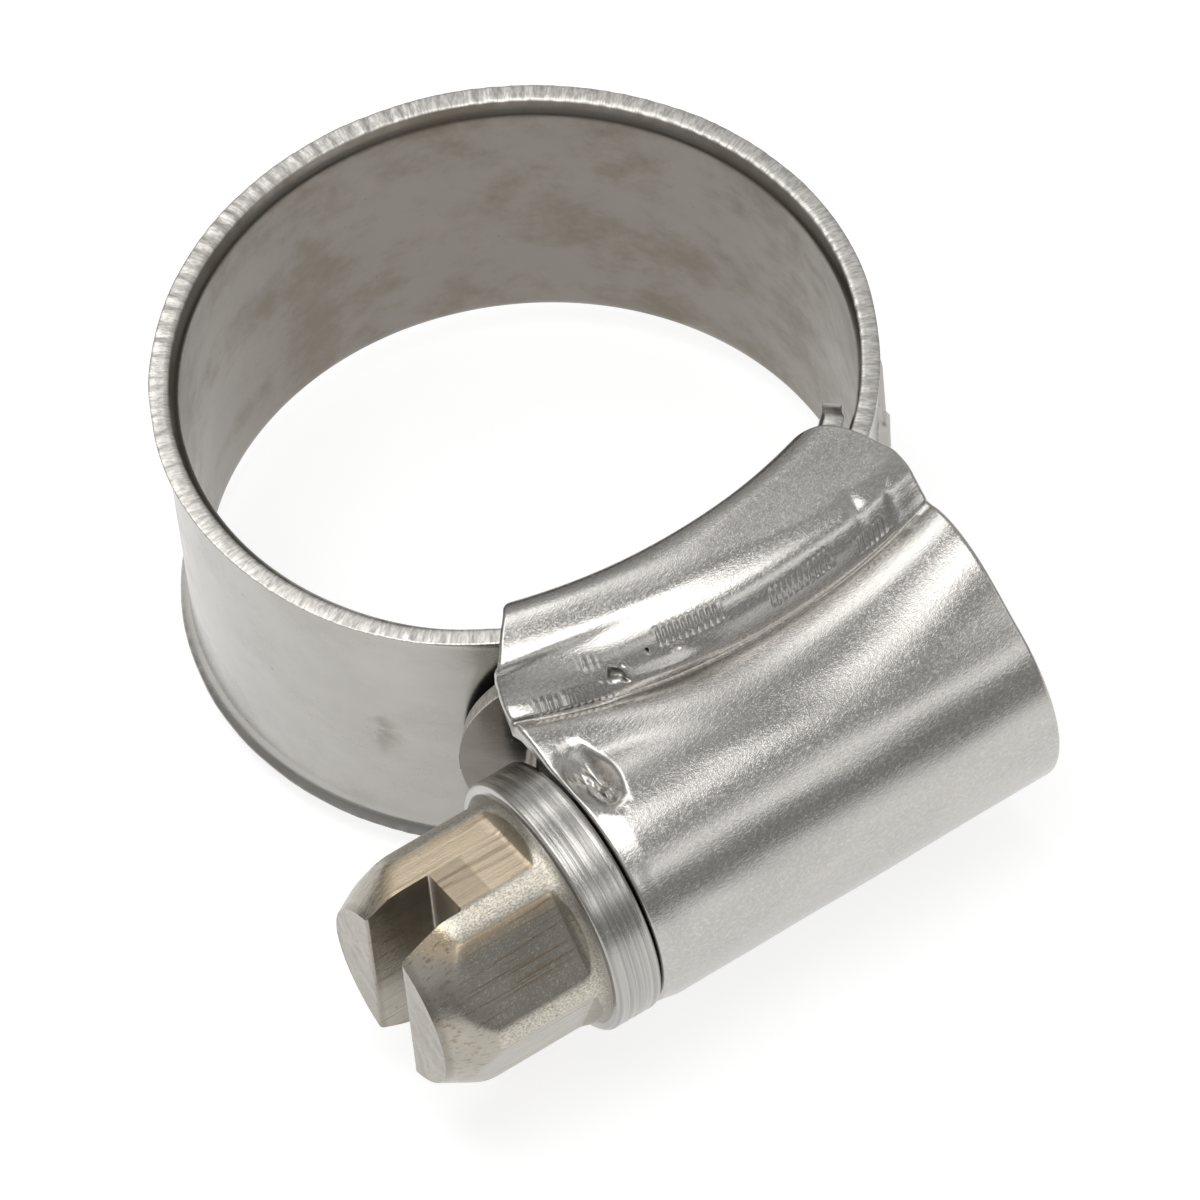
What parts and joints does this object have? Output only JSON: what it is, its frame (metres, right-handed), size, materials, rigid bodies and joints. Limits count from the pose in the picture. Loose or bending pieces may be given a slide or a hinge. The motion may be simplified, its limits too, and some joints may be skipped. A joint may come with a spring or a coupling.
{
  "type": "hose clamp",
  "caption": "Worm-drive hose clip: stainless band through a pressed housing, tightened by a slotted hexagon-head screw.",
  "frame": {"origin": "centre of the open band's bore, at the middle of the band's width", "axes": "+Z along the hose, +X along the screw away from its head, -Y towards the housing"},
  "size_m": [0.0261, 0.0304, 0.012],
  "materials": {
    "housing": "satin",
    "band": "satin",
    "screw": "satin"
  },
  "bodies": {
    "root": {"housing": "housing", "band_tongue": "band"},
    "screw": {"worm_screw": "screw"},
    "threaded_end": {"band_threaded_end": "band"},
    "link_14": {"band_link_14": "band"},
    "link_13": {"band_link_13": "band"},
    "link_12": {"band_link_12": "band"},
    "link_11": {"band_link_11": "band"},
    "link_10": {"band_link_10": "band"},
    "link_09": {"band_link_09": "band"},
    "link_08": {"band_link_08": "band"},
    "link_07": {"band_link_07": "band"},
    "link_06": {"band_link_06": "band"},
    "link_05": {"band_link_05": "band"},
    "link_04": {"band_link_04": "band"},
    "link_03": {"band_link_03": "band"},
    "link_02": {"band_link_02": "band"},
    "link_01": {"band_link_01": "band"}
  },
  "joints": [
    {"name": "screw_turn", "type": "hinge", "parent": "root", "child": "screw", "pos_m": [0, -0.01443, 0], "axis": [1, 0, 0], "range_deg": [0, 1620]},
    {"name": "band_pull", "type": "hinge", "parent": "root", "child": "threaded_end", "pos_m": [-0.0003, 0, 0], "axis": [0, 0, -1], "range_deg": [0, 54]},
    {"name": "bend_14", "type": "hinge", "parent": "threaded_end", "child": "link_14", "pos_m": [0.01013, 0.00299, 0], "axis": [0, 0, 1], "range_deg": [0, 8.28]},
    {"name": "bend_13", "type": "hinge", "parent": "link_14", "child": "link_13", "pos_m": [0.00861, 0.00616, 0], "axis": [0, 0, 1], "range_deg": [0, 6.77]},
    {"name": "bend_12", "type": "hinge", "parent": "link_13", "child": "link_12", "pos_m": [0.00614, 0.00866, 0], "axis": [0, 0, 1], "range_deg": [0, 4.82]},
    {"name": "bend_11", "type": "hinge", "parent": "link_12", "child": "link_11", "pos_m": [0.00298, 0.01021, 0], "axis": [0, 0, 1], "range_deg": [0, 3.02]},
    {"name": "bend_10", "type": "hinge", "parent": "link_11", "child": "link_10", "pos_m": [-0.00052, 0.01064, 0], "axis": [0, 0, 1], "range_deg": [0, 1.69]},
    {"name": "bend_09", "type": "hinge", "parent": "link_10", "child": "link_09", "pos_m": [-0.00395, 0.0099, 0], "axis": [0, 0, 1], "range_deg": [0, 0.98]},
    {"name": "bend_08", "type": "hinge", "parent": "link_09", "child": "link_08", "pos_m": [-0.00696, 0.00808, 0], "axis": [0, 0, 1], "range_deg": [0, 0.88]},
    {"name": "bend_07", "type": "hinge", "parent": "link_08", "child": "link_07", "pos_m": [-0.0092, 0.00536, 0], "axis": [0, 0, 1], "range_deg": [0, 1.29]},
    {"name": "bend_06", "type": "hinge", "parent": "link_07", "child": "link_06", "pos_m": [-0.01012, 0.00325, 0], "axis": [0, 0, 1], "range_deg": [0, 1.99]},
    {"name": "bend_05", "type": "hinge", "parent": "link_06", "child": "link_05", "pos_m": [-0.01053, 0.00099, 0], "axis": [0, 0, 1], "range_deg": [0, 2.85]},
    {"name": "bend_04", "type": "hinge", "parent": "link_05", "child": "link_04", "pos_m": [-0.01041, -0.00131, 0], "axis": [0, 0, 1], "range_deg": [0, 3.72]},
    {"name": "bend_03", "type": "hinge", "parent": "link_04", "child": "link_03", "pos_m": [-0.00977, -0.00352, 0], "axis": [0, 0, 1], "range_deg": [0, 4.51]},
    {"name": "bend_02", "type": "hinge", "parent": "link_03", "child": "link_02", "pos_m": [-0.00865, -0.00553, 0], "axis": [0, 0, 1], "range_deg": [0, 5.16]},
    {"name": "bend_01", "type": "hinge", "parent": "link_02", "child": "link_01", "pos_m": [-0.0071, -0.00723, 0], "axis": [0, 0, 1], "range_deg": [0, 5.58]}
  ],
  "couplings": [
    {"joint": "band_pull", "follows": "screw_turn", "ratio": 0.033333},
    {"joint": "bend_14", "follows": "screw_turn", "ratio": 0.005098},
    {"joint": "bend_13", "follows": "screw_turn", "ratio": 0.004168},
    {"joint": "bend_12", "follows": "screw_turn", "ratio": 0.00296},
    {"joint": "bend_11", "follows": "screw_turn", "ratio": 0.00185},
    {"joint": "bend_10", "follows": "screw_turn", "ratio": 0.001032},
    {"joint": "bend_09", "follows": "screw_turn", "ratio": 0.000592},
    {"joint": "bend_08", "follows": "screw_turn", "ratio": 0.000532},
    {"joint": "bend_07", "follows": "screw_turn", "ratio": 0.000782},
    {"joint": "bend_06", "follows": "screw_turn", "ratio": 0.001218},
    {"joint": "bend_05", "follows": "screw_turn", "ratio": 0.001747},
    {"joint": "bend_04", "follows": "screw_turn", "ratio": 0.002285},
    {"joint": "bend_03", "follows": "screw_turn", "ratio": 0.002774},
    {"joint": "bend_02", "follows": "screw_turn", "ratio": 0.003172},
    {"joint": "bend_01", "follows": "screw_turn", "ratio": 0.003432}
  ]
}
